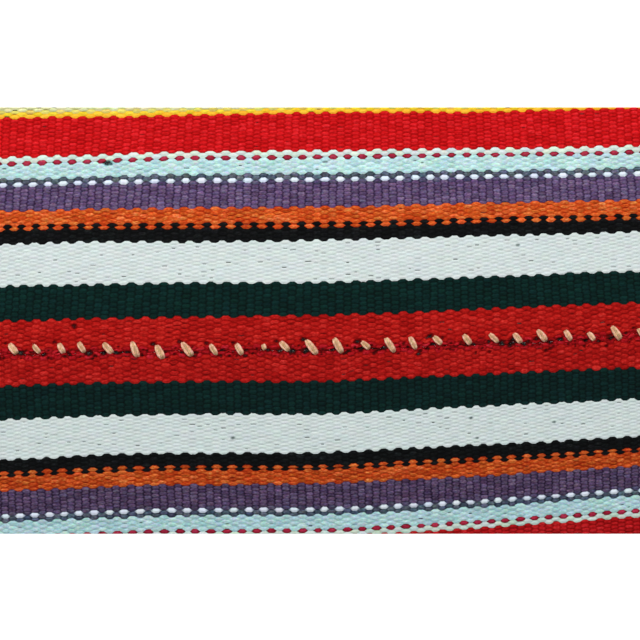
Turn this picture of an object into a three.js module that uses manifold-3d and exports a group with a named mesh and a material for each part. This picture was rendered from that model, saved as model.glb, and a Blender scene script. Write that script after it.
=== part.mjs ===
// A cut length of striped, warp-faced rug cloth: two loom widths laid edge to edge and sewn along their
// selvedges. The warps run along x and hide the wefts, which show as ribs that run along y.
// Millimetres, +Z up. The origin is on the floor, under the middle of the cloth.
import * as THREE from "three";
import { mergeVertices } from "three/addons/utils/BufferGeometryUtils.js";
import Module from "manifold-3d";

// Driving dimensions of the cut piece.
const clothLength = 270; // along the warps
const clothWidth = 169; // across both loom widths, from cut edge to cut edge
const clothThickness = 2.6; // over the crests of the ribs
const ribDepth = 0.6; // from a rib's crest down to the valley beside it

// The selvedges, where each weft turns back round the last warp.
const selvedgeGap = 0.9; // between the two widths, on average
const weftTurn = 0.25; // how far each turn bulges towards the seam, and dips between turns
const selvedgeRound = 1.1; // width of the rounded margin
const selvedgeDrop = 0.8; // how far the top has come down at its rim

// The seam climbs a little to the right: its y every 45 mm along the cloth.
const seamLine = [
  { x: -135, y: -13.6 },
  { x: -90, y: -12.8 },
  { x: -45, y: -12.2 },
  { x: 0, y: -11.5 },
  { x: 45, y: -10.2 },
  { x: 90, y: -8.4 },
  { x: 135, y: -4.8 },
];

// The wefts weren't beaten in evenly. Each row gives the x of one rib at the selvedge and at the far edge.
const looms = {
  upper: {
    color: 0xb8201e,
    side: 1,
    wovenRibs: { first: -5, last: 88 },
    beat: [
      { rib: -10, selvedge: -155.9, edge: -150.2 },
      { rib: 10, selvedge: -98.7, edge: -90.9 },
      { rib: 30, selvedge: -34.6, edge: -30.3 },
      { rib: 50, selvedge: 29.9, edge: 28.5 },
      { rib: 70, selvedge: 91.6, edge: 85.9 },
      { rib: 90, selvedge: 150.3, edge: 145.2 },
    ],
  },
  lower: {
    color: 0xa31c1a,
    side: -1,
    wovenRibs: { first: -6, last: 90 },
    beat: [
      { rib: -10, selvedge: -152.3, edge: -150.1 },
      { rib: 10, selvedge: -94.9, edge: -92.1 },
      { rib: 30, selvedge: -33.0, edge: -30.9 },
      { rib: 50, selvedge: 27.2, edge: 28.4 },
      { rib: 70, selvedge: 83.9, edge: 85.0 },
      { rib: 90, selvedge: 140.0, edge: 142.7 },
    ],
  },
};

// Height of a rib's section at its valley, shoulder, crest and shoulder, as a share of ribDepth.
const ribSection = [0, 0.72, 1, 0.72];

const yarnRoughness = 0.9;
const weldDistance = 1e-4;

const wasm = await Module();
wasm.setup();

// A spline through evenly spaced rows, read at any value of its first column.
function evenSpline(rows, key, first, second) {
  const curve = new THREE.SplineCurve(rows.map((row) => new THREE.Vector2(row[first], row[second])));
  const start = rows[0][key];
  const span = rows.at(-1)[key] - start;
  return (value) => curve.getPoint(THREE.MathUtils.clamp((value - start) / span, 0, 1));
}

const seamPoint = evenSpline(seamLine, "x", "x", "y");

// Where the vertices of one loom width go. Stations count along the warps and rows from the selvedge out.
function weave({ side, beat, wovenRibs }, width) {
  const ribPlace = evenSpline(beat, "rib", "selvedge", "edge");
  return (station, row) => {
    const rib = wovenRibs.first + station / ribSection.length;
    const { x: atSelvedge, y: atEdge } = ribPlace(rib);
    const x = row === 2 ? atEdge : atSelvedge;
    const turn = weftTurn * Math.cos(Math.PI * rib);
    const rimY = seamPoint(x).y + side * (selvedgeGap / 2 + turn);
    const y = [rimY, rimY + side * selvedgeRound, side * width][row];
    const rim = row === 0 ? selvedgeDrop : 0;
    const top = clothThickness - ribDepth * (1 - ribSection[station % ribSection.length]) - rim;
    return { x, y, top };
  };
}

// A loom width as it comes off the loom: a closed slab, ribbed on top, flat below and over long.
function wovenSlab(loom) {
  const stations = (loom.wovenRibs.last - loom.wovenRibs.first) * ribSection.length;
  const rows = 2;
  const slab = new THREE.BoxGeometry(1, 1, 1, stations, rows, 1);
  const corners = slab.getAttribute("position");
  const placed = weave(loom, clothWidth / 2);
  for (let i = 0; i < corners.count; i++) {
    const station = Math.round((corners.getX(i) + 0.5) * stations);
    const rowFromBelow = Math.round((corners.getY(i) + 0.5) * rows);
    const row = loom.side > 0 ? rowFromBelow : rows - rowFromBelow;
    const { x, y, top } = placed(station, row);
    corners.setXYZ(i, x, y, corners.getZ(i) > 0 ? top : 0);
  }
  return slab;
}

function toSolid(geometry) {
  geometry.deleteAttribute("normal");
  geometry.deleteAttribute("uv");
  const merged = mergeVertices(geometry, weldDistance);
  const vertProperties = new Float32Array(merged.getAttribute("position").array);
  const triVerts = new Uint32Array(merged.index.array);
  return new wasm.Manifold(new wasm.Mesh({ numProp: 3, vertProperties, triVerts }));
}

function toGeometry(solid) {
  const { vertProperties, triVerts } = solid.getMesh();
  const geometry = new THREE.BufferGeometry();
  geometry.setAttribute("position", new THREE.BufferAttribute(vertProperties, 3));
  geometry.setIndex(new THREE.BufferAttribute(triVerts, 1));
  geometry.computeVertexNormals();
  return geometry;
}

// The block that the cloth is cut down to: only its two ends cut anything.
const cutBlock = toSolid(new THREE.BoxGeometry(clothLength, clothWidth * 2, clothThickness * 4));

function loomWidth(name) {
  const loom = looms[name];
  const solid = toSolid(wovenSlab(loom)).intersect(cutBlock);
  const material = new THREE.MeshStandardMaterial({ color: loom.color, roughness: yarnRoughness, metalness: 0 });
  const mesh = new THREE.Mesh(toGeometry(solid), material);
  mesh.name = `${name}_loom_width`;
  return mesh;
}

const cloth = new THREE.Group();
cloth.add(loomWidth("upper"), loomWidth("lower"));

export default cloth;
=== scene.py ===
import math

import bmesh
import bpy
import numpy as np
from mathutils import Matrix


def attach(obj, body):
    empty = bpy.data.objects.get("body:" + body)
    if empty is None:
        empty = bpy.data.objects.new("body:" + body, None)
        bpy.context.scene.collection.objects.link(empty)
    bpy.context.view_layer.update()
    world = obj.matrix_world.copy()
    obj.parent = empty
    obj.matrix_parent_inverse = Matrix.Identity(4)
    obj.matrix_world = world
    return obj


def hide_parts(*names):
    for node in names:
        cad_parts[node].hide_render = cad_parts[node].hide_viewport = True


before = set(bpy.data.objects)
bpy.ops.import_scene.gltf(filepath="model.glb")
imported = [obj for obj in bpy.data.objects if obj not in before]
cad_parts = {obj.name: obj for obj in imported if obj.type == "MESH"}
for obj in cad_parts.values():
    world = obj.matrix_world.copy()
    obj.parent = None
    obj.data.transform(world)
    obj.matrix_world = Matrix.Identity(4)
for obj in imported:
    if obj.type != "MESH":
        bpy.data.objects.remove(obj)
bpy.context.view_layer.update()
mm = 0.001
print("stage: frame loaded")


# Lengths are in millimetres. The seam's line and the ribs' places are the CAD part's own.
seamLine = {"x": [-135, -90, -45, 0, 45, 90, 135], "y": [-13.6, -12.8, -12.2, -11.5, -10.2, -8.4, -4.8]}
stripeStations = [-127, -95, -63, -31, 0, 31, 63, 95, 123]  # x of the points of the stripes' lines

cutPiece = {
    "length": 270,
    "width": 169,
    "thickness": 2.6,
    "middle": 1.3,  # height of the cloth's middle plane
    "skin": 0.02,  # how far the face and the back stay from that plane at a rim
    "headroom": 0.06,  # room left over the crests for the fattest floats
    "rise": 0.30,  # how far a warp climbs from a valley to the crest of its rib
    "groove": 0.41,  # depth of the groove between two neighbouring floats
    "rimRound": 0.8,  # rounding of each selvedge
    "rimLedge": 0.03,  # how far in the rounding starts
    "rimLevel": 0.78,  # share of its height that a selvedge keeps at its rim
    "rimGap": 0.01,  # from each selvedge to the middle of the seam
    "rimNotch": 0.36,  # how far the selvedge steps back where its last warp dips under
}
halfLength, halfWidth = cutPiece["length"] / 2, cutPiece["width"] / 2

# Each yarn: its colour in daylight, 0 to 255, how mottled its wool is, how much painted shade its grooves
# and its valleys get, how often the dark weft shows between two floats, and how much its tone and its hue
# vary.
yarnColumns = ("color", "mottle", "groove", "valley", "gap", "speckle", "hue")
yarnRows = {
    "selvedgeRed": ((160, 15, 25), 0.35, 0.80, 0.30, 0.06, 0.80, 0.05),
    "seamRed": ((168, 20, 15), 0.25, 0.72, 0.14, 0.03, 0.80, 0.04),
    "green": ((4, 34, 31), 0.35, 0.22, 0.18, 0.0, 0.32, 0.05),
    "white": ((202, 211, 209), 0.07, 0.15, 0.03, 0.11, 0.24, 0.02),
    "black": ((11, 12, 13), 0.50, 0.30, 0.12, 0.0, 0.60, 0.06),
    "orange": ((198, 84, 31), 0.50, 0.75, 0.10, 0.03, 1.0, 0.10),
    "purple": ((95, 76, 109), 0.50, 0.24, 0.40, 0.04, 0.75, 0.05),
    "dusk": ((80, 72, 100), 0.60, 0.40, 0.30, 0.02, 0.70, 0.08),
    "slate": ((82, 88, 102), 0.60, 0.50, 0.30, 0.02, 0.80, 0.12),
    "dotWhite": ((216, 224, 236), 0.12, 0.80, 0.62, 0.0, 0.30, 0.04),
    "aqua": ((181, 213, 213), 0.40, 0.46, 0.05, 0.10, 0.66, 0.05),
    "milk": ((204, 218, 210), 0.20, 0.42, 0.10, 0.02, 0.45, 0.07),
    "dotRed": ((163, 41, 64), 0.50, 0.90, 0.50, 0.0, 0.60, 0.06),
    "red": ((198, 18, 23), 0.25, 0.58, 0.28, 0.02, 0.75, 0.04),
    "amber": ((240, 178, 48), 0.20, 0.40, 0.10, 0.02, 0.45, 0.06),
    "yellow": ((228, 194, 48), 0.30, 0.45, 0.10, 0.09, 0.60, 0.07),
    "lemon": ((214, 200, 104), 0.30, 0.50, 0.10, 0.16, 0.60, 0.08),
    "pale": ((212, 213, 163), 0.25, 0.64, 0.14, 0.30, 0.62, 0.08),
}
yarns = {name: dict(zip(yarnColumns, row)) for name, row in yarnRows.items()}
weftColor = (14, 16, 17)
lintColor = (112, 116, 108)

# Warp ends from the selvedge outwards: yarn, number of ends, and their spacing in millimetres.
upperStripes = [
    ("selvedgeRed", 2, 1.00), ("seamRed", 12, 1.00), ("green", 14, 0.93), ("white", 21, 0.785),
    ("black", 6, 0.90), ("orange", 1, 0.90), ("black", 1, 0.90), ("orange", 7, 0.90), ("purple", 12, 0.80),
    ("dusk", 1, 0.95), ("dotWhite", 1, 1.0), ("slate", 1, 0.95), ("slate", 1, 0.80), ("aqua", 6, 0.96),
    ("dotRed", 1, 0.96), ("milk", 2, 1.0), ("red", 19, 0.78), ("amber", 1, 0.85), ("yellow", 1, 0.85),
    ("lemon", 1, 0.85), ("pale", 12, 0.85),
]
lowerStripes = [
    ("selvedgeRed", 2, 1.05), ("seamRed", 10, 1.05), ("green", 14, 0.89), ("white", 21, 0.75),
    ("black", 6, 0.77), ("orange", 1, 0.80), ("black", 1, 0.80), ("orange", 7, 0.87), ("purple", 12, 0.77),
    ("dusk", 1, 0.95), ("dotWhite", 1, 1.0), ("slate", 1, 0.92), ("slate", 1, 0.78), ("aqua", 6, 0.93),
    ("dotRed", 1, 0.95), ("milk", 2, 0.92), ("red", 19, 0.78),
]

# The lower width's yarns are painted darker and duller, as painted shade for the light falling off
# downwards.
lowerShadedColors = {
    "green": (4, 31, 29),
    "white": (196, 206, 204),
    "black": (8, 10, 11),
    "seamRed": (162, 19, 15),
    "orange": (176, 72, 25),
    "purple": (79, 63, 90),
    "dusk": (70, 62, 86),
    "dotWhite": (204, 212, 222),
    "slate": (66, 75, 90),
    "aqua": (163, 194, 197),
    "milk": (186, 202, 192),
    "dotRed": (149, 30, 55),
    "red": (166, 17, 21),
}

upperWidth = {
    "name": "upper_cloth",
    "node": "upper_loom_width",
    "slot": "upper_cloth",
    "side": 1,
    "ribs": (-5, 88),
    "beat": {
        "rib": [-10, 10, 30, 50, 70, 90],
        "selvedge": [-155.9, -98.7, -34.6, 29.9, 91.6, 150.3],
        "edge": [-150.2, -90.9, -30.3, 28.5, 85.9, 145.2],
    },
    "stripes": upperStripes,
    "shadedColors": {},
    # Lines that the stripes follow: how many ends lie before each one, and its y at the stations.
    "lines": {
        14: [-0.2, 0.5, 1.2, 1.6, 2.2, 3.0, 4.5, 5.9, 6.9],
        28: [13.6, 14.2, 14.9, 15.0, 15.3, 16.1, 17.3, 18.5, 19.5],
        49: [30.1, 30.8, 31.2, 31.2, 31.7, 32.5, 33.4, 34.1, 35.0],
        55: [35.6, 36.5, 36.6, 36.7, 37.1, 37.7, 38.9, 39.6, 40.2],
        64: [43.4, 44.0, 44.5, 44.8, 45.0, 45.6, 46.5, 47.2, 47.8],
        77.5: [53.6, 54.4, 55.3, 55.6, 55.9, 56.4, 57.0, 57.4, 58.1],
        86.5: [61.9, 62.9, 64.1, 64.5, 64.8, 65.2, 65.7, 66.0, 66.7],
        108: [80.2, 80.6, 81.1, 81.7, 82.4, 82.7, 82.6, 83.4, 84.3],
    },
    "seed": 11,
}
lowerWidth = {
    "name": "lower_cloth",
    "node": "lower_loom_width",
    "slot": "lower_cloth",
    "side": -1,
    "ribs": (-6, 90),
    "beat": {
        "rib": [-10, 10, 30, 50, 70, 90],
        "selvedge": [-152.3, -94.9, -33.0, 27.2, 83.9, 140.0],
        "edge": [-150.1, -92.1, -30.9, 28.4, 85.0, 142.7],
    },
    "stripes": lowerStripes,
    "shadedColors": lowerShadedColors,
    "lines": {
        12: [-26.0, -25.0, -24.4, -24.2, -24.2, -22.8, -21.3, -19.9, -18.8],
        26: [-39.4, -38.2, -37.4, -37.1, -37.1, -35.7, -34.0, -32.6, -31.3],
        47: [-55.4, -53.6, -52.6, -52.6, -52.3, -50.7, -49.3, -47.7, -46.0],
        53: [-60.4, -58.8, -57.8, -57.6, -57.6, -56.0, -54.4, -52.7, -50.8],
        62: [-67.7, -66.4, -65.2, -65.1, -64.6, -63.3, -61.7, -59.7, -57.9],
        75.5: [-77.7, -76.4, -75.3, -75.0, -74.8, -73.6, -71.7, -69.4, -67.3],
        84.5: [-86.2, -84.9, -83.7, -83.4, -83.1, -81.8, -79.9, -77.6, -75.7],
    },
    "seed": 23,
}

# The joining yarn: three plies, flattened by the pull of the sewing. A stitch runs from -1 to 1.
stitchYarn = {
    "plies": 3,
    "plyWide": 0.66,
    "plyHigh": 0.46,
    "plyOffset": 0.84,
    "size": (0.45, 13.5),  # a stitch's size: the least, and the length that adds 1
    "arch": 0.95,
    "below": 0.45,  # from the top of the cloth down to the foot of the arch
    "sink": 1.8,
    "steepness": 4.2,
    "fullest": 0.2,  # and on the two sides of that place:
    "taper": (3.4, 2.6),
    "reach": (1.22, 0.82),
    "thinnest": (0.30, 0.08),
    "plump": 0.6,
    "twist": 0.55,  # turns of the plies round each other over a stitch, in radians either side
    "twistOwn": 0.35,
    "rolled": 0.4,
    "middleUp": 0.12,  # the middle ply rides on the other two
    "fat": (0.9, 1.1),
    "jitter": 0.08,
    "rings": 17,
    "sides": 10,
    # The middle ply's colours, then the outer plies': pinker, and painted lighter as highlights along the
    # stitch's rims.
    "core": (206, 170, 124),
    "coreDark": (172, 138, 94),
    "rim": (246, 192, 162),
    "rimDark": (212, 156, 122),
}

# Its legs on the back, which climb to the holes at both ends.
stitchLeg = {
    "wide": 0.85,
    "high": 0.29,
    "level": 0.31,
    "climb": 1.2,
    "steepness": 6,
    "thinnest": 0.15,
    "plump": 0.4,
    "rings": 9,
    "firstPly": 100,
}

# The overcast stitches, left to right: middle, length, how steeply each one slants down to the right, and
# how wide the selvedges are open beside it: under its left side, past its lower end, over its upper end.
stitchColumns = ("x", "y", "length", "slant", "under", "past", "over")
stitchRows = [
    (-131.3, -11.3, 5.6, 56, 0.4, 0.7, 0.0),
    (-121.6, -11.2, 5.5, 52, 0.0, 0.65, 0.35),
    (-112.3, -11.2, 4.7, 50, 0.3, 0.4, 0.0),
    (-102.4, -10.9, 4.8, 62, 0.3, 0.4, 0.4),
    (-94.5, -10.6, 5.3, 57, 0.4, 0.8, 0.0),
    (-84.0, -10.9, 5.9, 47, 0.5, 0.5, 0.0),
    (-73.4, -11.4, 7.2, 69, 0.4, 0.0, 0.0),
    (-63.5, -12.4, 6.5, 64, 0.2, 0.2, 0.55),
    (-52.7, -11.4, 7.2, 52, 0.2, 0.4, 0.5),
    (-42.2, -11.5, 5.4, 57, 0.0, 0.4, 0.5),
    (-32.0, -11.4, 5.5, 60, 0.3, 0.45, 0.4),
    (-22.2, -10.5, 2.5, 70, 0.0, 0.5, 0.0),
    (-14.0, -10.2, 5.4, 44, 0.7, 0.8, 0.45),
    (-3.4, -10.5, 7.8, 52, 0.7, 0.0, 0.6),
    (7.1, -9.9, 7.3, 60, 0.5, 0.4, 0.0),
    (18.0, -9.7, 4.7, 40, 0.6, 0.25, 0.75),
    (27.7, -9.7, 7.4, 57, 0.6, 0.3, 0.0),
    (36.8, -8.9, 6.1, 63, 0.3, 0.4, 0.0),
    (46.6, -7.9, 4.9, 42, 0.45, 0.3, 0.6),
    (58.2, -7.5, 5.1, 52, 0.4, 0.5, 0.0),
    (68.8, -7.0, 5.4, 43, 0.45, 0.75, 0.0),
    (78.2, -7.0, 5.3, 53, 0.75, 0.4, 0.0),
    (87.8, -5.9, 6.1, 51, 0.5, 0.65, 0.0),
    (98.2, -5.9, 5.2, 58, 0.5, 0.3, 0.0),
    (107.5, -6.3, 4.4, 52, 0.5, 0.4, 0.3),
    (117.3, -4.9, 6.9, 56, 0.65, 0.0, 0.3),
    (127.2, -5.1, 4.8, 54, 0.3, 0.4, 0.3),
]
stitches = [dict(zip(stitchColumns, row)) for row in stitchRows]


# How far the selvedges wander from the seam's line, and the length over which they do.
seamWander = [{"seed": 5, "far": 0.42, "cell": 3.1}, {"seed": 6, "far": 0.40, "cell": 1.5}]

# How uneven the weaving is. A kind's seed is added to the width's, and its cells are in ribs and in warps.
uneven = {
    "beat": {"seed": 0, "far": 0.30, "cells": (3.0, 26.0)},  # along the warps, far apart
    "slip": {"seed": 1, "far": 0.27, "cells": (0.9, 1.4)},  # along the warps, float by float
    "drift": {"seed": 2, "far": 0.12, "cells": (5.0, 3.0)},  # across the warps, far apart
    "sway": {"seed": 6, "far": 0.15, "cells": (1.2, 1.3)},  # across the warps, float by float
    "level": {"seed": 4, "far": 0.07, "cells": (9.0, 14.0)},
    "dip": {"seed": 7, "far": 0.5, "cells": (2.2, 1.0)},
    "ledge": {"seed": 8, "far": 0.45, "cells": (1.7, 9.0)},
}
settleWarps = 3  # so many ends from the selvedge, they move across in full

# Single floats differ: what that adds to a width's seed, the share of their rise, and their level.
floatOwn = {"seed": 3, "rise": 0.2, "level": 0.05}

# Spots are longer along the warps, end after so many reaches, and are weaker when small.
spotShape = {"stretch": 1.35, "cutOff": 5, "weakest": 0.20, "gain": 1.8}

# Where the sewing pulls the selvedges open: from a stitch's middle, its lower end and its upper end.
openings = {
    "under": (-2.1, -1.5),
    "past": (1.4, 0.0),
    "over": (-1.3, 0.1),
    "jitter": 0.4,
    "between": ((2.6, 4.6), (4.6, 6.8)),  # more of them, this far right of each stitch's middle
    "above": (-3.1, 0.9),  # how far those lie above the seam's line
    "reach": (0.16, 0.40),
    "ribWarp": (-0.2, 1.4),  # and small ones at every rib, this far out in warps
    "ribReach": (0.12, 0.32),  # their least reach, and how much more the largest have
}

# Reach of the dent at a needle hole, of the shade round it and of a leg's track on the back.
sewingMarks = {"hole": 0.9, "shade": 0.6, "track": 0.8, "trackSpots": 7}


# A smooth line through a few measured points, read at any x.
def smoothLine(xs, ys, x):
    xs, ys = np.asarray(xs, float), np.asarray(ys, float)
    slopes = np.gradient(ys, xs)
    k = np.clip(np.searchsorted(xs, x) - 1, 0, len(xs) - 2)
    h = xs[k + 1] - xs[k]
    t = (x - xs[k]) / h
    inside = (2 * t**3 - 3 * t**2 + 1) * ys[k] + (t**3 - 2 * t**2 + t) * h * slopes[k]
    inside += (3 * t**2 - 2 * t**3) * ys[k + 1] + (t**3 - t**2) * h * slopes[k + 1]
    before = ys[0] + (x - xs[0]) * slopes[0]
    after = ys[-1] + (x - xs[-1]) * slopes[-1]
    return np.where(x < xs[0], before, np.where(x > xs[-1], after, inside))


# A square of seeded random values from -1 to 1.
def randomGrid(seed, size=512):
    return np.random.default_rng(seed).uniform(-1, 1, (size, size))


# Smooth seeded noise from -1 to 1 over a grid of cells.
def softNoise(seed, a, b, cellA, cellB):
    grid = randomGrid(seed)
    middle, last = len(grid) / 2, len(grid) - 1
    p, q = a / cellA + middle, b / cellB + middle
    i, j = np.floor(p).astype(int), np.floor(q).astype(int)
    s, t = p - i, q - j
    s, t = s * s * (3 - 2 * s), t * t * (3 - 2 * t)
    i, j = i % last, j % last
    low = grid[i, j] * (1 - s) + grid[i + 1, j] * s
    high = grid[i, j + 1] * (1 - s) + grid[i + 1, j + 1] * s
    return low * (1 - t) + high * t


def unevenness(kind, width, rib, warp, share=1):
    row = uneven[kind]
    return row["far"] * share * softNoise(width["seed"] + row["seed"], rib, warp, *row["cells"])


def seamAt(x):
    x = np.asarray(x, float)
    wander = sum(row["far"] * softNoise(row["seed"], x, 0 * x, row["cell"], 1.0) for row in seamWander)
    return smoothLine(seamLine["x"], seamLine["y"], x) + wander


# Distance of a warp position from the selvedge. Position 0 is the middle of the first end.
def distanceOut(width, warp):
    spacing = np.concatenate([[pitch] * ends for yarn, ends, pitch in width["stripes"]])
    rims = np.concatenate([[0], np.cumsum(spacing)])
    return np.interp(warp + 0.5, np.arange(len(rims)), rims)


def endCount(width):
    return sum(ends for yarn, ends, pitch in width["stripes"])


# Weave coordinates to millimetres: rib counts along the warps, warp across them.
def placeOnCloth(width, rib, warp):
    side = width["side"]
    out = distanceOut(width, warp)
    share = out / (side * halfWidth - np.mean(seamLine["y"])) * side
    beat = width["beat"]
    atSelvedge = smoothLine(beat["rib"], beat["selvedge"], rib)
    atEdge = smoothLine(beat["rib"], beat["edge"], rib)
    x = atSelvedge + (atEdge - atSelvedge) * share
    x = x + unevenness("beat", width, rib, warp)
    x = x + unevenness("slip", width, rib, warp)

    # Each line gives the y of one warp position. The warps between two lines share the room there.
    marks = [-0.5] + [before - 0.5 for before in width["lines"]]
    rim = seamAt(x) + side * cutPiece["rimGap"]
    heights = [rim] + [smoothLine(stripeStations, ys, x) for ys in width["lines"].values()]
    marksOut = distanceOut(width, np.array(marks))
    y = heights[-1] + side * (out - marksOut[-1])
    for k in range(len(marks) - 1):
        within = (warp >= marks[k]) & (warp <= marks[k + 1])
        t = (out - marksOut[k]) / (marksOut[k + 1] - marksOut[k])
        y = np.where(within, heights[k] * (1 - t) + heights[k + 1] * t, y)
    settled = np.clip(warp / settleWarps, 0, 1)
    y = y + unevenness("drift", width, rib, warp, settled)
    return x, y + unevenness("sway", width, rib, warp, settled)


# Height of the woven surface over its valleys: that of the warp on top, which climbs over each second rib.
def weaveHeight(width, rib, warp):
    below = np.floor(warp)
    turned = np.cos(np.pi * (rib + below))
    spread = cutPiece["rise"] / cutPiece["groove"]
    onTop = np.where(warp - below < 0.5 + spread * turned, below, below + 1)
    lift = np.cos(np.pi * (rib + onTop))
    crest = 2 * np.round((rib + onTop) / 2) - onTop
    grid = randomGrid(width["seed"] + floatOwn["seed"])
    own = grid[onTop.astype(int) % len(grid), crest.astype(int) % len(grid)]
    climb = cutPiece["rise"] * lift * (1 + floatOwn["rise"] * own)
    return climb - cutPiece["groove"] * (warp - onTop) ** 2 + floatOwn["level"] * own


# How strongly a list of spots works on each point, from 0 to 1. Each spot is x, y and its reach.
def nearSpots(x, y, spots):
    deep = np.zeros_like(x)
    for spotX, spotY, reach in spots:
        near = np.abs(x - spotX) < spotShape["cutOff"] * reach
        away = ((x[near] - spotX) / spotShape["stretch"]) ** 2 + (y[near] - spotY) ** 2
        strength = min(1, spotShape["weakest"] + spotShape["gain"] * reach)
        deep[near] += np.exp(-away / (2 * reach**2)) * strength
    return np.clip(deep, 0, 1)


# The upper end of a stitch, then its lower end.
def stitchEnds(stitch):
    half = stitch["length"] / 2
    dx = half * math.cos(math.radians(stitch["slant"]))
    dy = half * math.sin(math.radians(stitch["slant"]))
    return (stitch["x"] - dx, stitch["y"] + dy), (stitch["x"] + dx, stitch["y"] - dy)


# Below the cloth, the yarn runs from the lower end of each stitch to the upper end of the next.
def legs():
    return [(stitchEnds(left)[1], stitchEnds(right)[0]) for left, right in zip(stitches, stitches[1:])]


# Where the pull of the sewing opens the selvedges, the dark weft turns show beside the stitches.
def openSpots():
    draw = np.random.default_rng(41)
    jitter = openings["jitter"]
    spots = []
    for stitch in stitches:
        upper, lower = stitchEnds(stitch)
        starts = {"under": (stitch["x"], stitch["y"]), "past": lower, "over": upper}
        for place, start in starts.items():
            if stitch[place]:
                dx, dy = openings[place]
                x = start[0] + dx + draw.uniform(-jitter, jitter)
                y = start[1] + dy + draw.uniform(-jitter, jitter)
                spots.append((x, y, stitch[place]))
        for low, high in openings["between"]:
            x = stitch["x"] + draw.uniform(low, high)
            y = float(seamAt(x)) + draw.uniform(*openings["above"])
            spots.append((x, y, draw.uniform(*openings["reach"])))

    # Along both selvedges the weft also peeps out where the first or the second warp dips under.
    least, more = openings["ribReach"]
    for width in (upperWidth, lowerWidth):
        for rib in range(*width["ribs"]):
            warp = (rib + 1) % 2 + draw.uniform(*openings["ribWarp"])
            x, y = placeOnCloth(width, np.array([float(rib)]), np.array([warp]))
            spots.append((float(x[0]), float(y[0]), least + more * draw.uniform() ** 2))
    return spots


# Bits of dark fluff and slubs caught in the weave: x, y and reach.
fluff = [
    (-85.4, 62.4, 0.36),
    (-84.5, 61.9, 0.44),
    (-83.4, 62.6, 0.44),
    (-82.6, 62.0, 0.32),
    (-84.1, 63.1, 0.36),
    (-97.5, -2.0, 0.52),
    (-97.2, -2.9, 0.36),
    (78.4, 29.9, 0.40),
    (-34.5, -46.5, 0.42),
    (59.8, -38.6, 0.40),
    (92.7, -40.2, 0.38),
    (62.2, -46.5, 0.36),
]
needleHoles = [(*end, sewingMarks["hole"]) for stitch in stitches for end in stitchEnds(stitch)]
holeShades = [(*end, sewingMarks["shade"]) for stitch in stitches for end in stitchEnds(stitch)]
legTracks = [
    (start[0] + (stop[0] - start[0]) * t, start[1] + (stop[1] - start[1]) * t, sewingMarks["track"])
    for start, stop in legs()
    for t in np.linspace(0, 1, sewingMarks["trackSpots"])
]
seamOpenings = openSpots()

weaving = {
    "rimRows": [-0.5, -0.47, -0.36, -0.2],  # warp positions of the rows that round the selvedge
    "perWarp": 2,  # rows of the face to each end
    "perRib": 4,  # stations of the face to each rib
    "backRows": 4,  # the back takes one row in so many, and one station
    "backStations": 2,
    "dipMost": 1.5,
    "notchWarps": 1.2,  # over how many ends the notches of the selvedge fade out
    "ledgeWarps": 0.30,
    "rimRelief": 0.35,  # share of the floats' relief that is left at the rim
    "holeDent": 0.45,
    "openDent": 0.85,
    "holeCover": 0.9,  # share by which the cloth over a stitch's ends is kept from opening
    "holeShade": 0.24,
    "trackDent": 0.4,
}


# The face of a loom width: its points, the selvedge's rounding there, and how dark each spot is, from dark
# weft, fluff and a painted shade round each needle hole.
def wovenFace(width, rib, warp):
    x, y = placeOnCloth(width, rib, warp)
    lowest, ledgeRow = weaving["rimRows"][:2]

    # Where the last warp dips under, the selvedge steps back, and a dark ledge of weft shows below it.
    dips = 0.5 - 0.5 * np.cos(np.pi * rib) + unevenness("dip", width, rib, 0 * rib)
    fade = np.clip(1 - (warp - ledgeRow) / weaving["notchWarps"], 0, 1)
    notch = cutPiece["rimNotch"] * np.clip(dips, 0, weaving["dipMost"]) * fade
    y = y + width["side"] * np.where(warp > lowest, notch, 0)

    inward = np.clip((distanceOut(width, warp) - cutPiece["rimLedge"]) / cutPiece["rimRound"], 0, 1)
    rounding = cutPiece["rimLevel"] + (1 - cutPiece["rimLevel"]) * np.sqrt(1 - (1 - inward) ** 2)
    valley = cutPiece["thickness"] - cutPiece["rise"] - cutPiece["headroom"]
    relief = weaving["rimRelief"] + (1 - weaving["rimRelief"]) * rounding
    face = valley + weaveHeight(width, rib, warp) * relief
    face += unevenness("level", width, rib, warp) - uneven["level"]["far"]

    # The sewing dents the cloth, but the cloth stays closed over the ends of the stitches.
    opened = nearSpots(x, y, seamOpenings)
    pulled = nearSpots(x, y, needleHoles)
    face -= weaving["holeDent"] * pulled + weaving["openDent"] * opened * (1 - weaving["holeCover"] * pulled)
    ledgeFade = np.clip(1 - (warp - ledgeRow) / weaving["ledgeWarps"], 0, 1)
    ledge = np.clip(unevenness("ledge", width, rib, warp) * ledgeFade, 0, 1)
    # Dark weft at the openings and the ledge, dark fluff, and a painted shade round each needle hole.
    dark = opened + nearSpots(x, y, fluff) + ledge + weaving["holeShade"] * nearSpots(x, y, holeShades)
    middle = cutPiece["middle"]
    face = middle + cutPiece["skin"] + (face - middle) * rounding
    return x, y, face, rounding, np.clip(dark, 0, 1)


# The four-sided faces of a lattice of vertices.
def quads(index):
    corners = [index[:-1, :-1], index[:-1, 1:], index[1:, 1:], index[1:, :-1]]
    return np.stack(corners, -1).reshape(-1, 4).tolist()


# Joins a run of fine face vertices to the coarse back vertices below them.
def wall(faceRun, backRun, marks):
    polygons = []
    for k in range(len(backRun) - 1):
        run = faceRun[marks[k] : marks[k + 1] + 1]
        polygons.append([backRun[k], backRun[k + 1]] + run[::-1].tolist())
    return polygons


def turnedOver(polygons):
    return [polygon[::-1] for polygon in polygons]


# What each of a mesh's vertices, corners or faces has under this key.
def read(items, key, kind=np.int32, size=1):
    values = np.empty(len(items) * size, kind)
    items.foreach_get(key, values)
    return values if size == 1 else values.reshape(-1, size)


def addMap(mesh, name, spots):
    mesh.uv_layers.new(name=name).uv.foreach_set("vector", spots.astype(np.float32).ravel())


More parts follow.
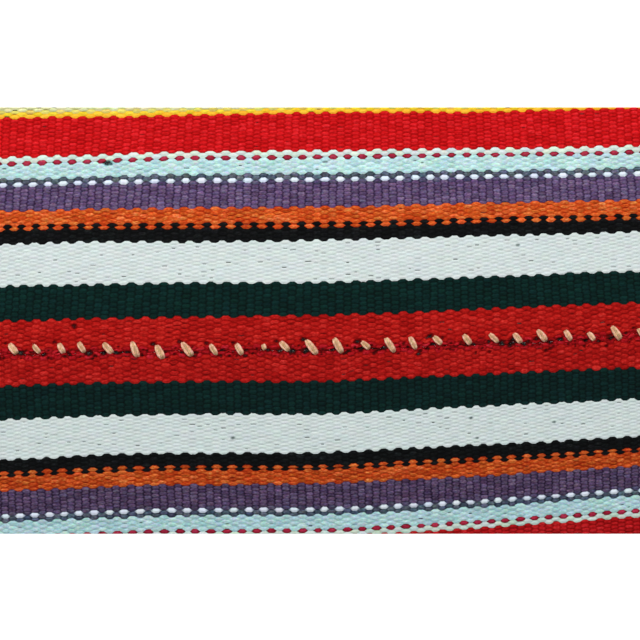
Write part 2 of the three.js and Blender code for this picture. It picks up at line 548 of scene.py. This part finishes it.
# One row for each point of these columns or grids.
def listed(*columns):
    return np.stack(columns, -1).reshape(-1, len(columns))


def placeInScene(name, mesh):
    piece = bpy.data.objects.new(name, mesh)
    bpy.context.scene.collection.objects.link(piece)
    return piece


# One loom width: a closed sheet on a lattice that follows the weave, then cut to length.
def weaveCloth(width):
    side = width["side"]
    first, last = width["ribs"]
    bodyRows = np.arange(0, weaving["perWarp"] * endCount(width)) / weaving["perWarp"]
    rowWarps = np.concatenate([weaving["rimRows"], bodyRows])
    stationRibs = first + np.arange(0, (last - first) * weaving["perRib"] + 1) / weaving["perRib"]
    rib, warp = np.meshgrid(stationRibs, rowWarps)
    x, y, face, rounding, dark = wovenFace(width, rib, warp)

    # The back is coarser: its ribs are modelled, and its floats are left to the material.
    rowSteps = np.arange(0, len(rowWarps), weaving["backRows"])
    backRows = np.unique(np.concatenate([rowSteps, [len(rowWarps) - 1]]))
    backStations = np.arange(0, len(stationRibs), weaving["backStations"])
    sampled = np.ix_(backRows, backStations)
    backRib, backX, backY, backRound = rib[sampled], x[sampled], y[sampled], rounding[sampled]
    back = cutPiece["rise"] * (1 - np.abs(np.cos(np.pi * backRib)))
    back = back + weaving["trackDent"] * nearSpots(backX, backY, legTracks)
    back = (cutPiece["middle"] - cutPiece["skin"]) * (1 - backRound) + back * backRound

    faceIndex = np.arange(rib.size).reshape(rib.shape)
    backIndex = faceIndex.size + np.arange(back.size).reshape(back.shape)
    points = np.concatenate([listed(x, y, face), listed(backX, backY, back)]) * mm
    places = np.concatenate([listed(rib, warp), listed(backRib + 1, warp[sampled])])
    top = quads(faceIndex)
    bottom = turnedOver(quads(backIndex))
    walls = wall(faceIndex[0], backIndex[0], backStations)
    walls += turnedOver(wall(faceIndex[-1], backIndex[-1], backStations))
    walls += turnedOver(wall(faceIndex[:, 0], backIndex[:, 0], backRows))
    walls += wall(faceIndex[:, -1], backIndex[:, -1], backRows)
    polygons = top + bottom + walls
    if side < 0:
        polygons = turnedOver(polygons)

    mesh = bpy.data.meshes.new(width["name"])
    mesh.from_pydata(points.tolist(), [], polygons)
    darkness = mesh.attributes.new("dark", "FLOAT", "POINT")
    darkness.data.foreach_set("value", np.concatenate([dark.ravel(), 0 * back.ravel()]).astype(np.float32))

    # The back's map is one rib on, as a warp that is up on the face is down on the back. The walls keep the
    # face's map.
    loopVerts = read(mesh.loops, "vertex_index")
    spots = places[loopVerts].astype(np.float32)
    isWall = np.zeros(len(mesh.loops), bool)
    isWall[4 * (len(top) + len(bottom)) :] = True
    spots[isWall & (loopVerts >= faceIndex.size), 0] -= 1
    addMap(mesh, "weave", spots)

    cloth = bmesh.new()
    cloth.from_mesh(mesh)
    cutToSize(cloth, side)
    cloth.to_mesh(mesh)
    cloth.free()
    layFlat(mesh, side)
    piece = placeInScene(width["name"], mesh)
    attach(piece, "root")
    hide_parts(width["node"])
    return piece


# Where each part of a cloth lies in its flat layout: the least value, and the range above it.
layout = {
    "along": (0.01, 0.98),
    "face": (0.36, 0.62),
    "back": (0.10, 0.24),
    "edge": (0.07, 0.02),
    "leftEnd": (0.01, 0.02),
    "rightEnd": (0.04, 0.02),
    "pastMiddle": 16,  # how far the wider width reaches past the middle
    "facing": 0.9,  # a cut end or edge faces outwards at least this squarely
}


# A plain layout of the cloth: its face, its back below that, and the cut edges in strips.
def layFlat(mesh, side):
    faceNormals = read(mesh.polygons, "normal", float, 3)
    normal = np.repeat(faceNormals, read(mesh.polygons, "loop_total"), axis=0)
    x, y, z = read(mesh.vertices, "co", float, 3)[read(mesh.loops, "vertex_index")].T
    along = (x + halfLength * mm) / (cutPiece["length"] * mm)
    across = (halfWidth * mm - side * y) / (halfWidth * mm + layout["pastMiddle"] * mm)
    level = z / (cutPiece["thickness"] * mm)

    def strip(part, share):
        least, more = layout[part]
        return least + more * share

    isEnd = np.abs(normal[:, 0]) > layout["facing"]
    isEdge = side * normal[:, 1] > layout["facing"]
    u = np.where(isEnd, across, along)
    v = np.where(normal[:, 2] > 0, strip("face", across), strip("back", across))
    v = np.where(isEdge, strip("edge", level), v)
    v = np.where(isEnd, np.where(x > 0, strip("rightEnd", level), strip("leftEnd", level)), v)
    addMap(mesh, "OFBake", listed(strip("along", u), v))


# Cuts the woven sheet across both ends and along its outer edge, and closes each cut with a flat face.
def cutToSize(cloth, side):
    weaveMap = cloth.loops.layers.uv["weave"]
    for face in cloth.faces:
        face.smooth = True
    cuts = [
        ((-halfLength * mm, 0, 0), (-1, 0, 0)),
        ((halfLength * mm, 0, 0), (1, 0, 0)),
        ((0, side * halfWidth * mm, 0), (0, side, 0)),
    ]
    for spot, outward in cuts:
        everything = cloth.verts[:] + cloth.edges[:] + cloth.faces[:]
        done = bmesh.ops.bisect_plane(
            cloth, geom=everything, dist=1e-8, plane_co=spot, plane_no=outward, clear_outer=True)
        cutEdges = [item for item in done["geom_cut"] if isinstance(item, bmesh.types.BMEdge)]
        openEdges = [edge for edge in cutEdges if edge.is_boundary]
        for cap in bmesh.ops.edgeloop_fill(cloth, edges=openEdges)["faces"]:
            cap.smooth = False
            cap.material_index = 1
            for edge in cap.edges:
                edge.smooth = False

            # The cut face takes its map from the woven faces beside it.
            for loop in cap.loops:
                around = [other for other in loop.vert.link_loops if other.face is not cap]
                woven = [other for other in around if other.face.material_index == 0]
                if woven:
                    loop[weaveMap].uv = woven[0][weaveMap].uv
    bmesh.ops.recalc_face_normals(cloth, faces=cloth.faces[:])


# A method that adds one Math node, from the wire itself and what stands beside it.
def mathNode(operation):
    return lambda wire, *others: wire.math(operation, wire, *others)


# Shader maths: a wire wraps a socket, and its operators add Math nodes.
class Wire:
    __add__ = __radd__ = mathNode("ADD")
    __sub__ = mathNode("SUBTRACT")
    __mul__ = __rmul__ = mathNode("MULTIPLY")
    __truediv__ = mathNode("DIVIDE")
    __mod__ = mathNode("MODULO")
    __lt__ = mathNode("LESS_THAN")
    __gt__ = mathNode("GREATER_THAN")
    __abs__ = mathNode("ABSOLUTE")
    floor = mathNode("FLOOR")
    round = mathNode("ROUND")
    cos = mathNode("COSINE")
    sin = mathNode("SINE")
    sign = mathNode("SIGN")

    def __init__(self, tree, socket):
        self.tree, self.socket = tree, socket

    def math(self, operation, *values):
        node = self.tree.nodes.new("ShaderNodeMath")
        node.operation = operation
        for slot, value in enumerate(values):
            if isinstance(value, Wire):
                self.tree.links.new(value.socket, node.inputs[slot])
            else:
                node.inputs[slot].default_value = value
        return Wire(self.tree, node.outputs[0])

    def __rsub__(self, number):
        return self.math("SUBTRACT", number, self)

    def clip(self, low, high):
        return self.math("MINIMUM", self.math("MAXIMUM", self, low), high)

    def ease(self, low, high):
        t = ((self - low) / (high - low)).clip(0, 1)
        return t * t * (3 - 2 * t)


class Finish:
    def __init__(self, name):
        self.material = bpy.data.materials.new(name)
        self.material.use_nodes = True
        self.tree = self.material.node_tree
        self.tree.nodes.clear()

    # Adds any node: its settings first, then the values or links of its sockets.
    def node(self, kind, settings=None, out=0, **sockets):
        node = self.tree.nodes.new(kind)
        for key, value in (settings or {}).items():
            if key == "stops":
                self.setStops(node.color_ramp, value)
            else:
                setattr(node, key, value)
        for key, value in sockets.items():
            socket = node.inputs[int(key[1:])] if key[0] == "_" else node.inputs[key.replace("_", " ")]
            if isinstance(value, Wire):
                self.tree.links.new(value.socket, socket)
            else:
                socket.default_value = value
        return Wire(self.tree, node.outputs[out])

    def setStops(self, ramp, stops):
        ramp.interpolation = "CONSTANT"
        while len(ramp.elements) > 1:
            ramp.elements.remove(ramp.elements[-1])
        for k, (place, color) in enumerate(stops):
            element = ramp.elements[0] if k == 0 else ramp.elements.new(place)
            element.position = place
            element.color = color

    def split(self, vector):
        outputs = self.node("ShaderNodeSeparateXYZ", Vector=vector).socket.node.outputs
        return [Wire(self.tree, output) for output in outputs]

    def join(self, x, y, z):
        return self.node("ShaderNodeCombineXYZ", X=x, Y=y, Z=z)

    def chance(self, x, y, z, out=0):
        return self.node("ShaderNodeTexWhiteNoise", out=out, Vector=self.join(x, y, z))

    def noise(self, vector, scale, detail, out=0):
        return self.node("ShaderNodeTexNoise", out=out, Vector=vector, Scale=scale, Detail=detail)

    def ramp(self, stops, place):
        return self.node("ShaderNodeValToRGB", {"stops": stops}, Fac=place)

    def blend(self, operation, first, second):
        return self.node("ShaderNodeVectorMath", {"operation": operation}, _0=first, _1=second)

    def mix(self, share, first, second):
        settings = {"data_type": "RGBA"}
        return self.node("ShaderNodeMix", settings, out=2, _0=share, _6=first, _7=second)

    def scaled(self, color, factor):
        return self.node("ShaderNodeVectorMath", {"operation": "SCALE"}, _0=color, Scale=factor)

    def uv(self, name):
        return self.split(self.node("ShaderNodeUVMap", {"uv_map": name}))[:2]

    def finish(self, **sockets):
        shader = self.node("ShaderNodeBsdfPrincipled", **sockets)
        output = self.tree.nodes.new("ShaderNodeOutputMaterial")
        self.tree.links.new(shader.socket, output.inputs["Surface"])
        return self.material

    # Wool of this colour and relief, with its look's own bump and surface.
    def wool(self, color, height, look):
        strength, reach = look["bump"]
        normal = self.node("ShaderNodeBump", Strength=strength, Distance=reach, Height=height)
        roughness, gloss = look["surface"]
        return self.finish(Base_Color=color, Roughness=roughness, Normal=normal, Specular_IOR_Level=gloss)


evenGrey = (0.5, 0.5, 0.5, 1.0)  # twice this leaves a colour as it is
brightest = 0.9


# A colour of 0 to 255 as linear light.
def tint(color):
    linear = [(c / 255 / 12.92) if c <= 10 else ((c / 255 + 0.055) / 1.055) ** 2.4 for c in color]
    return (*[min(brightest, c) for c in linear], 1.0)


# One stop for each stripe of a width: its yarn's colour, or three measures of the yarn.
def stripeStops(width, measures=None):
    ends = endCount(width)
    stops, done = [], 0
    for yarn, count, pitch in width["stripes"]:
        if measures:
            value = (*[yarns[yarn][measure] for measure in measures], 1.0)
        else:
            value = tint(width["shadedColors"].get(yarn, yarns[yarn]["color"]))
        stops.append((done / ends, value))
        done += count
    return stops


# How the woven face looks. A noise has cells per metre and a detail, an ease has its start and its end, and
# the rest are shares.
weaveLook = {
    "stretch": (0.4, 1.0, 1.0),  # the fibres are drawn out along the warps
    "fuzz": (2100, 3.0),
    "mottle": (1700, 2.0),
    "ragged": (1100, 2.0),
    "raggedAlong": 0.14,
    "raggedAcross": 0.20,
    "driftCells": (0.21, 5.3),  # cells of the drift in shade, to each rib and to each warp
    "drift": (1.0, 2.0),
    # The painted shade in the grooves between floats, in the valleys between ribs and at the tips of the
    # floats:
    "grooveEase": (0.0, 0.45),
    "grooveLeast": 0.35,
    "grooveOwn": 1.3,
    "grooveInValley": 0.2,
    "grooveShade": 0.9,
    "valleyShade": 2,
    "ownShade": 0.35,
    "driftShade": 0.6,
    "fuzzShade": 1.5,
    "rimNoise": (160, 1.0),
    "rimPatch": (0.48, 0.62),
    "rimEase": (0.02, 0.22),
    "rimShade": 0.9,
    "openEase": (0.06, 0.70),
    "openShade": 1.15,
    "gamma": 0.8,  # how a shade deepens a colour, and how it dims it
    "dim": 0.45,
    "dashEase": (0.12, 0.30),
    "dashLeast": 0.16,  # half the length of a dash of weft, in ribs, and what the longest add
    "dashOwn": 0.2,
    "dashFaint": 0.25,
    "torn": (1000, 3.0),
    "tornEase": (0.72, 0.96),
    "lint": (2300, 2.0),
    "lintEase": (0.52, 0.66),
    "lintShare": 0.4,
    "twist": (9, 2.6, 3),  # turns of a warp's own twist along it and across it, and its start
    "twistHigh": 0.06,
    "domeTop": 0.8,
    "domeGroove": 1.6,
    "domeLeast": 0.1,
    "domeHigh": 0.9,
    "fuzzHigh": 0.5,
    "weftLow": 0.3,
    "bump": (0.8, 0.0002),  # strength, and height in metres
    "surface": (0.88, 0.1),  # roughness and gloss
}


# The woven face: which warp is on top, its yarn's colour, painted shade in the grooves and valleys, and the
# dark weft between floats.
def clothFinish(width):
    f, look, seed = Finish(width["slot"] + "_weave"), weaveLook, width["seed"]
    here = f.node("ShaderNodeTexCoord", out=3)
    fibre = f.blend("MULTIPLY", here, look["stretch"])
    fuzz = f.noise(fibre, *look["fuzz"])
    u, w = f.uv("weave")
    u = u + (fuzz - 0.5) * look["raggedAlong"]
    w = w + (f.noise(here, *look["ragged"]) - 0.5) * look["raggedAcross"]
    spread = cutPiece["rise"] / cutPiece["groove"]

    below = w.floor()
    turned = ((u + below) * math.pi).cos()
    isBelow = (w - below) < (turned * spread + 0.5)
    warp = below + 1 - isBelow
    off = w - warp
    crest = ((u + warp) * 0.5).round() * 2 - warp
    along = u - crest
    lift = (along * math.pi).cos()
    rim = (lift * spread + 0.5).clip(0, 1) - abs(off)

    # The stripe that this warp belongs to gives its colour, the painted shade of its grooves and valleys,
    # and its other habits.
    stripe = (warp + 0.5) / endCount(width)
    yarn = f.ramp(stripeStops(width), stripe)
    depths = f.ramp(stripeStops(width, ("mottle", "groove", "valley")), stripe)
    habits = f.ramp(stripeStops(width, ("gap", "speckle", "hue")), stripe)
    mottle, grooveShare, valleyShare = f.split(depths)
    gapShare, speckle, hue = f.split(habits)

    own = f.chance(warp, crest, float(seed))
    depthOwn = f.chance(warp, crest, seed + 0.75)
    ribCells, warpCells = look["driftCells"]
    drift = f.noise(f.join(u * ribCells, warp * warpCells, 0.0), *look["drift"])
    # Painted shade: the grooves between floats are darkened, most on the crests, and so are the rib valleys
    # and float tips.
    grooveDeep = depthOwn * depthOwn * look["grooveOwn"] + look["grooveLeast"]
    grooveHere = lift.clip(0, 1) * (1 - look["grooveInValley"]) + look["grooveInValley"]
    groove = (1 - rim.ease(*look["grooveEase"])) * grooveDeep * grooveHere
    paintedShadeAndTone = groove * grooveShare * look["grooveShade"]
    paintedShadeAndTone = paintedShadeAndTone + (0.5 - lift).clip(0, 1) * valleyShare * look["valleyShade"]
    spotted = (0.5 - own) * look["ownShade"] + (0.5 - drift) * look["driftShade"]
    paintedShadeAndTone = paintedShadeAndTone + (spotted + (0.5 - fuzz) * look["fuzzShade"]) * speckle

    # The very rim of the selvedge is shaded in places, and so is the wool round each opening.
    # The dark attribute holds the openings, the fluff and the weft ledge, and the painted shade round the
    # needle holes.
    opened = f.node("ShaderNodeAttribute", {"attribute_name": "dark"}, out=2)
    rimPatch = f.noise(here, *look["rimNoise"]).ease(*look["rimPatch"])
    rimShade = (1 - (w + 0.5).ease(*look["rimEase"])) * rimPatch
    paintedShadeAndTone = paintedShadeAndTone + rimShade * look["rimShade"] + opened.ease(*look["openEase"]) * look["openShade"]
    color = f.node("ShaderNodeGamma", Color=yarn, Gamma=paintedShadeAndTone * look["gamma"] + 1)
    color = f.scaled(color, 1 - paintedShadeAndTone * look["dim"])
    wool = f.mix(mottle, evenGrey, f.noise(fibre, *look["mottle"], out=1))
    wool = f.mix(hue, wool, f.chance(warp, crest, seed + 0.5, out=1))
    color = f.blend("MULTIPLY", color, f.scaled(wool, 2.0))

    # Short dashes of dark weft between two floats, some faint and some strong.
    hidden = warp + off.sign()
    peep, strength, reach = f.split(f.chance(hidden, crest, seed + 0.25, out=1))
    isShort = abs(along) < (reach * look["dashOwn"] + look["dashLeast"])
    inGap = (peep > (1 - gapShare)) * isShort * (1 - rim.ease(*look["dashEase"]))
    dash = inGap * (strength * (1 - look["dashFaint"]) + look["dashFaint"])
    torn = (opened + (f.noise(here, *look["torn"]) - 0.5)).ease(*look["tornEase"])
    dark = (dash + torn).clip(0, 1)
    lint = f.noise(here, *look["lint"]).ease(*look["lintEase"]) * look["lintShare"]
    color = f.mix(dark, color, f.mix(lint, tint(weftColor), tint(lintColor)))

    turnsAlong, turnsAcross, start = look["twist"]
    twist = ((along * turnsAlong + off * turnsAcross + own * start) * 2 * math.pi).sin()
    dome = rim.clip(0, look["domeTop"]) * (grooveShare * look["domeGroove"] + look["domeLeast"])
    relief = dome * look["domeHigh"] + twist * look["twistHigh"] + fuzz * look["fuzzHigh"]
    return f.wool(color, relief + (1 - dark) * look["weftLow"], look)


# How a cut looks: half the width of a cut warp in warps, and half its height and its swing in millimetres.
cutLook = {
    "warpWide": 0.62,
    "warpHigh": 0.46,
    "swing": 0.75,
    "warpEase": (0.75, 1.1),
    "fuzz": (2600, 3.0),
    "shade": 0.55,
    "fuzzShade": 0.5,
    "warpOut": 0.6,
    "bump": (0.9, 0.0003),
    "surface": (0.95, 0.2),
}


# A cut through the cloth: each warp end where it passes over or under the dark wefts.
def cutFinish(width):
    f, look = Finish(width["slot"] + "_cut"), cutLook
    here = f.node("ShaderNodeTexCoord", out=3)
    u, w = f.uv("weave")
    height = f.split(here)[2] / mm
    warp = w.round()
    swing = ((u + warp) * math.pi).cos() * look["swing"]
    across = (w - warp) / look["warpWide"]
    up = (height - cutPiece["middle"] - swing) / look["warpHigh"]
    isYarn = 1 - (across * across + up * up).ease(*look["warpEase"])
    fuzz = f.noise(here, *look["fuzz"])
    yarn = f.ramp(stripeStops(width), (warp + 0.5) / endCount(width))
    color = f.mix(isYarn, tint(weftColor), f.scaled(yarn, look["shade"] + fuzz * look["fuzzShade"]))
    return f.wool(color, isYarn * look["warpOut"] + fuzz, look)


# A swept yarn: rings of points round a path, closed with a point at each end.
def sweep(path, wide, high, sides):
    path = np.asarray(path, float)
    along = np.gradient(path, axis=0)
    along /= np.linalg.norm(along, axis=1)[:, None]
    sideways = np.cross(along, [0, 0, 1.0])
    sideways /= np.linalg.norm(sideways, axis=1)[:, None]
    upward = np.cross(sideways, along)
    angle = np.arange(sides) * 2 * np.pi / sides
    rings = path[:, None] + sideways[:, None] * (np.cos(angle) * wide[:, None])[..., None]
    rings = rings + upward[:, None] * (np.sin(angle) * high[:, None])[..., None]
    points = np.concatenate([rings.reshape(-1, 3), path[:1], path[-1:]])
    index = np.arange(len(path) * sides).reshape(-1, sides)
    index = np.column_stack([index, index[:, 0]])
    faces = quads(index)
    firstTip, lastTip = len(path) * sides, len(path) * sides + 1
    for s in range(sides):
        faces.append([firstTip, index[0, s + 1], index[0, s]])
        faces.append([lastTip, index[-1, s], index[-1, s + 1]])
    return points, faces


# The joining yarn: each stitch is an arch of three plies, and below it a flat leg leads to the next one.
def sewSeam():
    points, faces, plyPlace = [], [], []
    yarn, leg = stitchYarn, stitchLeg
    sides = yarn["sides"]

    def addTube(path, wide, high, ply):
        tubePoints, tubeFaces = sweep(path, wide, high, sides)
        start = sum(len(done) for done in points)
        points.append(tubePoints)
        faces.extend([[int(v) + start for v in face] for face in tubeFaces])
        s = np.concatenate([np.repeat(np.linspace(0, 1, len(path)), sides), [0, 1]])
        a = np.concatenate([np.tile(np.arange(sides) / sides, len(path)), [0, 0]])
        plyPlace.append(listed(s * np.linalg.norm(path[-1] - path[0]), a + ply))

    # Each stitch narrows where it leaves its upper hole and is fullest near its lower end.
    t = np.linspace(-1, 1, yarn["rings"])
    isUpper = t < yarn["fullest"]
    taper, reach, thinnest = (np.where(isUpper, *yarn[key]) for key in ("taper", "reach", "thinnest"))
    narrowed = 1 - np.abs((t - yarn["fullest"]) / reach) ** taper
    plump = np.clip(narrowed, thinnest, 1) ** yarn["plump"]
    leastSize, lengthForOne = yarn["size"]
    turnOwn, jitter = yarn["twistOwn"], yarn["jitter"]
    draw = np.random.default_rng(77)
    for number, stitch in enumerate(stitches):
        (x0, y0), (x1, y1) = stitchEnds(stitch)
        size = leastSize + stitch["length"] / lengthForOne
        surface = cutPiece["thickness"] - yarn["below"]
        arch = yarn["arch"] * size
        z = surface + arch - (arch + yarn["sink"]) * np.abs(t) ** yarn["steepness"]
        spine = listed(x0 + (x1 - x0) * (t + 1) / 2, y0 + (y1 - y0) * (t + 1) / 2, z)
        across = np.array([y0 - y1, x1 - x0, 0.0])
        across /= np.linalg.norm(across)
        turn = t * yarn["twist"] + draw.uniform(-turnOwn, turnOwn)
        fat = draw.uniform(*yarn["fat"])
        for ply in range(yarn["plies"]):
            place = ply - (yarn["plies"] - 1) / 2
            offset = place * yarn["plyOffset"] * size * plump * fat
            path = spine + across * (np.cos(turn) * offset)[:, None]
            riding = yarn["middleUp"] if place == 0 else 0
            path[:, 2] += np.sin(turn) * offset * yarn["rolled"] + riding
            path[:, :2] += draw.uniform(-jitter, jitter, 2)
            wide = yarn["plyWide"] * size * plump * fat
            addTube(path, wide, yarn["plyHigh"] * size * plump, yarn["plies"] * number + ply)

    legT = np.linspace(0, 1, leg["rings"])
    legFat = np.clip(np.sin(np.pi * legT), leg["thinnest"], 1) ** leg["plump"]
    for number, (start, stop) in enumerate(legs()):
        z = leg["level"] + leg["climb"] * np.abs(2 * legT - 1) ** leg["steepness"]
        x = start[0] + (stop[0] - start[0]) * legT
        y = start[1] + (stop[1] - start[1]) * legT
        wide, high = leg["wide"] * legFat, leg["high"] * legFat
        addTube(listed(x, y, z), wide, high, leg["firstPly"] + number)

    mesh = bpy.data.meshes.new("joining_yarn")
    mesh.from_pydata((np.concatenate(points) * mm).tolist(), [], faces)
    addMap(mesh, "ply", np.concatenate(plyPlace)[read(mesh.loops, "vertex_index")])
    mesh.shade_smooth()
    piece = placeInScene("joining_yarn", mesh)
    shape = bmesh.new()
    shape.from_mesh(mesh)
    bmesh.ops.recalc_face_normals(shape, faces=shape.faces[:])
    shape.to_mesh(mesh)
    shape.free()
    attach(piece, "root")
    return piece


# How the joining yarn looks, in the same terms as the cloth.
yarnLook = {
    "fuzz": (2200, 3.0),
    "patch": (700, 2.0),
    "patchEase": (0.35, 0.65),
    "grain": (1300, 1.0),
    "grainShare": 0.3,
    "streakAlong": 0.5,  # turns of the fibres for each millimetre, and round the ply
    "streakRound": 3,
    "coreShare": 0.8,
    # The painted shade on each ply's sides and underside: where it sets in, and how much it darkens.
    "plyShadeEase": (0.13, 0.27),
    "plyShadeShare": 0.5,
    "shade": 0.66,
    "fuzzShade": 0.48,
    "streakShade": 0.10,
    "streakHigh": 0.4,
    "bump": (0.8, 0.0002),
    "surface": (0.85, 0.2),
}


# The sewing yarn's wool: three plies with fibres wound round each, and painted shade on each ply's sides and
# underside, where the creases between plies lie.
def yarnFinish():
    f, look, plies = Finish("joining_yarn_wool"), yarnLook, stitchYarn["plies"]
    here = f.node("ShaderNodeTexCoord", out=3)
    s, a = f.uv("ply")
    streak = ((s * look["streakAlong"] + a * look["streakRound"]) * 2 * math.pi).sin()
    fuzz = f.noise(here, *look["fuzz"])
    patch = f.noise(here, *look["patch"]).ease(*look["patchEase"])

    # The middle ply is the greener one of the three; the outer two are pinker and painted lighter, as
    # highlights along the stitch's rims.
    isMiddle = abs((a.floor() + 0.5) % plies - plies / 2) < 0.5
    core = f.mix(patch, tint(stitchYarn["coreDark"]), tint(stitchYarn["core"]))
    rim = f.mix(patch, tint(stitchYarn["rimDark"]), tint(stitchYarn["rim"]))
    base = f.mix(isMiddle * look["coreShare"], rim, core)

    # A quarter of the way round is the top of a ply: painted shade darkens the rest, its two sides at the
    # creases and its underside.
    paintedPlyShade = abs(a - a.floor() - 0.25).ease(*look["plyShadeEase"])
    grain = f.scaled(f.mix(look["grainShare"], evenGrey, f.noise(here, *look["grain"], out=1)), 2.0)
    lit = look["shade"] + fuzz * look["fuzzShade"] + streak * look["streakShade"]
    shade = lit * (1 - paintedPlyShade * look["plyShadeShare"])
    color = f.blend("MULTIPLY", f.scaled(base, shade), grain)
    return f.wool(color, streak * look["streakHigh"] + fuzz, look)


sheets = []
for width in (upperWidth, lowerWidth):
    piece = weaveCloth(width)
    piece.data.materials.append(clothFinish(width))
    piece.data.materials.append(cutFinish(width))
    sheets.append(piece)
    print("stage: wove", piece.name, "with", len(piece.data.polygons), "faces")

joiningYarn = sewSeam()
joiningYarn.data.materials.append(yarnFinish())
print("stage: sewed the seam with", len(stitches), "stitches")

# Each sheet's width from its cut edge to the seam's mean line: worked out here and used for nothing.
seamStations = np.linspace(-halfLength, halfLength, 55)
meanSeam = float(np.mean(smoothLine(seamLine["x"], seamLine["y"], seamStations)))
for piece, across in ((sheets[0], halfWidth - meanSeam), (sheets[1], halfWidth + meanSeam)):
    across * mm


# Studio: a pale floor, soft lights and the camera straight above the cloth.
studio = {
    "floor": (0.93, 0.93, 0.93, 1.0),
    "floorGlow": 0.9,
    "floorSize": 4.0,
    "floorRoughness": 0.9,
    "world": 0.486,
    "worldColor": (0.95, 0.98, 1.0, 1.0),
    "keyPower": 11.25,
    "keySize": 0.5,
    "keyPlace": (-0.10, 0.62, 0.95),
    "lens": 100.0,
    "sensor": 36.0,
    "frameWidth": 0.25344,
    "aim": (0.0, 0.0002, 0.0024),
}

bpy.ops.object.select_all(action="DESELECT")
bpy.ops.mesh.primitive_plane_add(size=studio["floorSize"], location=(0, 0, 0))
floor = bpy.context.object
floor.name = "floor"
paint = Finish("pale_floor")
glow = {"Emission_Color": studio["floor"], "Emission_Strength": studio["floorGlow"]}
floorPaint = paint.finish(Base_Color=studio["floor"], Roughness=studio["floorRoughness"], **glow)
floor.data.materials.append(floorPaint)

bpy.ops.object.light_add(type="AREA", location=studio["keyPlace"])
key = bpy.context.object
key.data.energy = studio["keyPower"]
key.data.size = studio["keySize"]
toMiddle = -np.array(studio["keyPlace"])
key.rotation_euler = (math.atan2(math.hypot(toMiddle[0], toMiddle[1]), -toMiddle[2]), 0,
                      math.atan2(toMiddle[1], toMiddle[0]) - math.pi / 2)

world = bpy.data.worlds.new("studio_light")
bpy.context.scene.world = world
world.use_nodes = True
background = world.node_tree.nodes["Background"]
background.inputs["Color"].default_value = studio["worldColor"]
background.inputs["Strength"].default_value = studio["world"]

distance = studio["lens"] / studio["sensor"] * studio["frameWidth"]
aimX, aimY, aimZ = studio["aim"]
bpy.ops.object.camera_add(location=(aimX, aimY, aimZ + distance), rotation=(0, 0, 0))
camera = bpy.context.object
camera.data.lens = studio["lens"]
camera.data.sensor_width = studio["sensor"]
bpy.context.scene.camera = camera
bpy.context.scene.view_settings.view_transform = "Standard"
print("stage: studio set")
